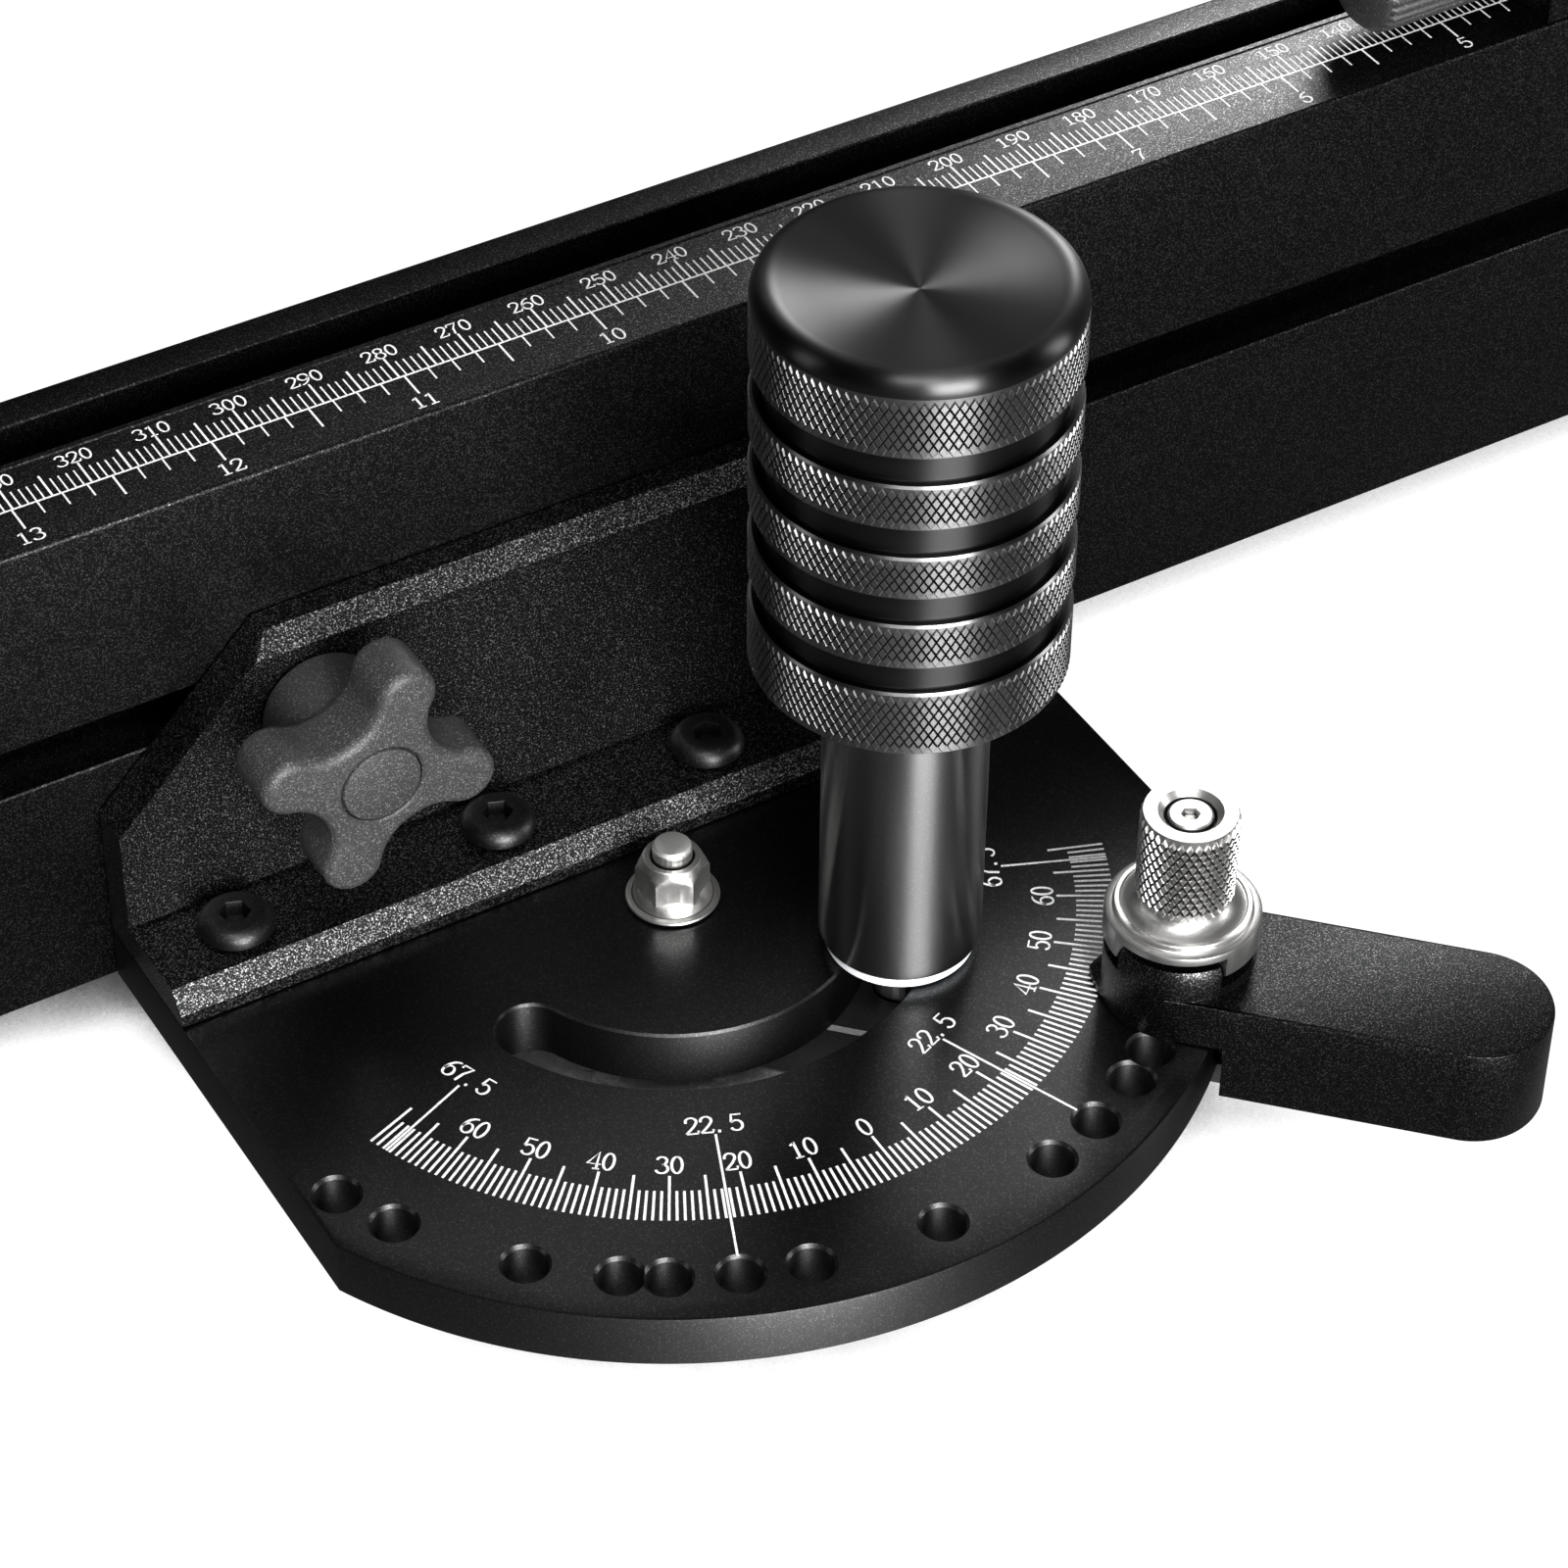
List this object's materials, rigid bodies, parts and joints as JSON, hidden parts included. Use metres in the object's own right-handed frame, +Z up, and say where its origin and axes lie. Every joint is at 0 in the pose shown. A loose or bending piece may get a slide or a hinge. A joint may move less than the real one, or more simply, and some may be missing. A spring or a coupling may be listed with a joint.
{
  "type": "table saw mitre gauge",
  "caption": "Mitre gauge for a table saw: protractor head on a slot bar, with index plunger, turned clamping handle, slotted extension fence and flip stop.",
  "frame": {"origin": "pivot axis at the mitre bar's underside", "axes": "+X right along the fence, +Y towards the fence and the work, +Z up; the handle side is the user's side"},
  "size_m": [0.6, 0.3604, 0.1175],
  "materials": {
    "miter_bar": "black oxide steel",
    "bar_adjuster": "black oxide",
    "index_arm": "bead-blasted black anodised",
    "arm_screw": "black oxide",
    "pivot_bolt": "bright zinc plated",
    "pivot_bush": "turned",
    "pivot_nut": "bright zinc plated",
    "clamp_stud": "plain",
    "plunger_bush": "turned",
    "plunger_spring": "spring wire",
    "plunger_knob": "turned, knurled stainless steel",
    "plunger_pin": "ground",
    "plunger_screw": "plain",
    "protractor_plate": "satin black anodised",
    "fence_bracket": "bead-blasted black anodised",
    "bracket_screw": "black oxide",
    "fence_bolt": "bright zinc plated",
    "clamp_handle": "turned, knurled, black anodised",
    "clamp_washer": "white nylon",
    "star_knob": "sandy matt black",
    "star_cap": "sandy matt black",
    "star_insert": "turned",
    "fence": "satin black anodised",
    "stop_body": "satin black anodised",
    "cursor_window": "clear",
    "stop_bolt": "bright zinc plated",
    "flip_pin": "ground",
    "stop_knob": "matt black",
    "side_thumbscrew": "matt black",
    "flip_arm": "satin black anodised"
  },
  "bodies": {
    "bar": {"miter_bar": "miter_bar", "bar_adjuster_1": "bar_adjuster", "bar_adjuster_2": "bar_adjuster", "bar_adjuster_3": "bar_adjuster", "bar_adjuster_4": "bar_adjuster", "index_arm": "index_arm", "arm_screw_1": "arm_screw", "arm_screw_2": "arm_screw", "pivot_bolt": "pivot_bolt", "pivot_bush": "pivot_bush", "pivot_nut": "pivot_nut", "clamp_stud": "clamp_stud", "plunger_bush": "plunger_bush", "plunger_spring": "plunger_spring"},
    "plunger": {"plunger_knob": "plunger_knob", "plunger_pin": "plunger_pin", "plunger_screw": "plunger_screw"},
    "head": {"protractor_plate": "protractor_plate", "fence_bracket": "fence_bracket", "bracket_screw_1": "bracket_screw", "bracket_screw_2": "bracket_screw", "bracket_screw_3": "bracket_screw", "bracket_screw_4": "bracket_screw", "fence_bolt_left": "fence_bolt", "fence_bolt_right": "fence_bolt"},
    "handle": {"clamp_handle": "clamp_handle", "clamp_washer": "clamp_washer"},
    "star_left": {"star_knob_left": "star_knob", "star_cap_left": "star_cap", "star_insert_left": "star_insert"},
    "star_right": {"star_knob_right": "star_knob", "star_cap_right": "star_cap", "star_insert_right": "star_insert"},
    "fence": {"fence": "fence"},
    "stop": {"stop_body": "stop_body", "cursor_window": "cursor_window", "stop_bolt": "stop_bolt", "flip_pin": "flip_pin"},
    "stop_knob": {"stop_knob": "stop_knob"},
    "side_screw": {"side_thumbscrew": "side_thumbscrew"},
    "flip_arm": {"flip_arm": "flip_arm"}
  },
  "joints": [
    {"name": "head_swing", "type": "hinge", "parent": "bar", "child": "head", "pos_m": [0, 0, 0], "axis": [0, 0, 1], "range_deg": [-22.5, 112.5]},
    {"name": "handle_turn", "type": "hinge", "parent": "bar", "child": "handle", "pos_m": [0.02043, -0.02043, 0], "axis": [0, 0, 1], "range_deg": [0, 360]},
    {"name": "plunger_lift", "type": "slide", "parent": "bar", "child": "plunger", "axis": [0, 0, 1], "range_m": [-0.0016, 0.002], "deforming": ["plunger_spring"]},
    {"name": "star_left_turn", "type": "hinge", "parent": "head", "child": "star_left", "pos_m": [-0.0356, 0, 0.0475], "axis": [0, 1, 0], "range_deg": [0, 360]},
    {"name": "star_right_turn", "type": "hinge", "parent": "head", "child": "star_right", "pos_m": [0.0356, 0, 0.0475], "axis": [0, 1, 0], "range_deg": [0, 360]},
    {"name": "fence_slide", "type": "slide", "parent": "head", "child": "fence", "axis": [1, 0, 0], "range_m": [-0.2, 0.27]},
    {"name": "stop_slide", "type": "slide", "parent": "fence", "child": "stop", "axis": [1, 0, 0], "range_m": [-0.45, 0.083]},
    {"name": "stop_knob_turn", "type": "hinge", "parent": "stop", "child": "stop_knob", "pos_m": [0.165, 0.04887, 0.09], "axis": [0, 0, 1], "range_deg": [0, 360]},
    {"name": "side_screw_turn", "type": "hinge", "parent": "stop", "child": "side_screw", "pos_m": [0.136, 0.04, 0.0884], "axis": [1, 0, 0], "range_deg": [0, 360]},
    {"name": "flip_arm_swing", "type": "hinge", "parent": "stop", "child": "flip_arm", "pos_m": [0.165, 0.064, 0.0865], "axis": [1, 0, 0], "range_deg": [0, 175]}
  ]
}
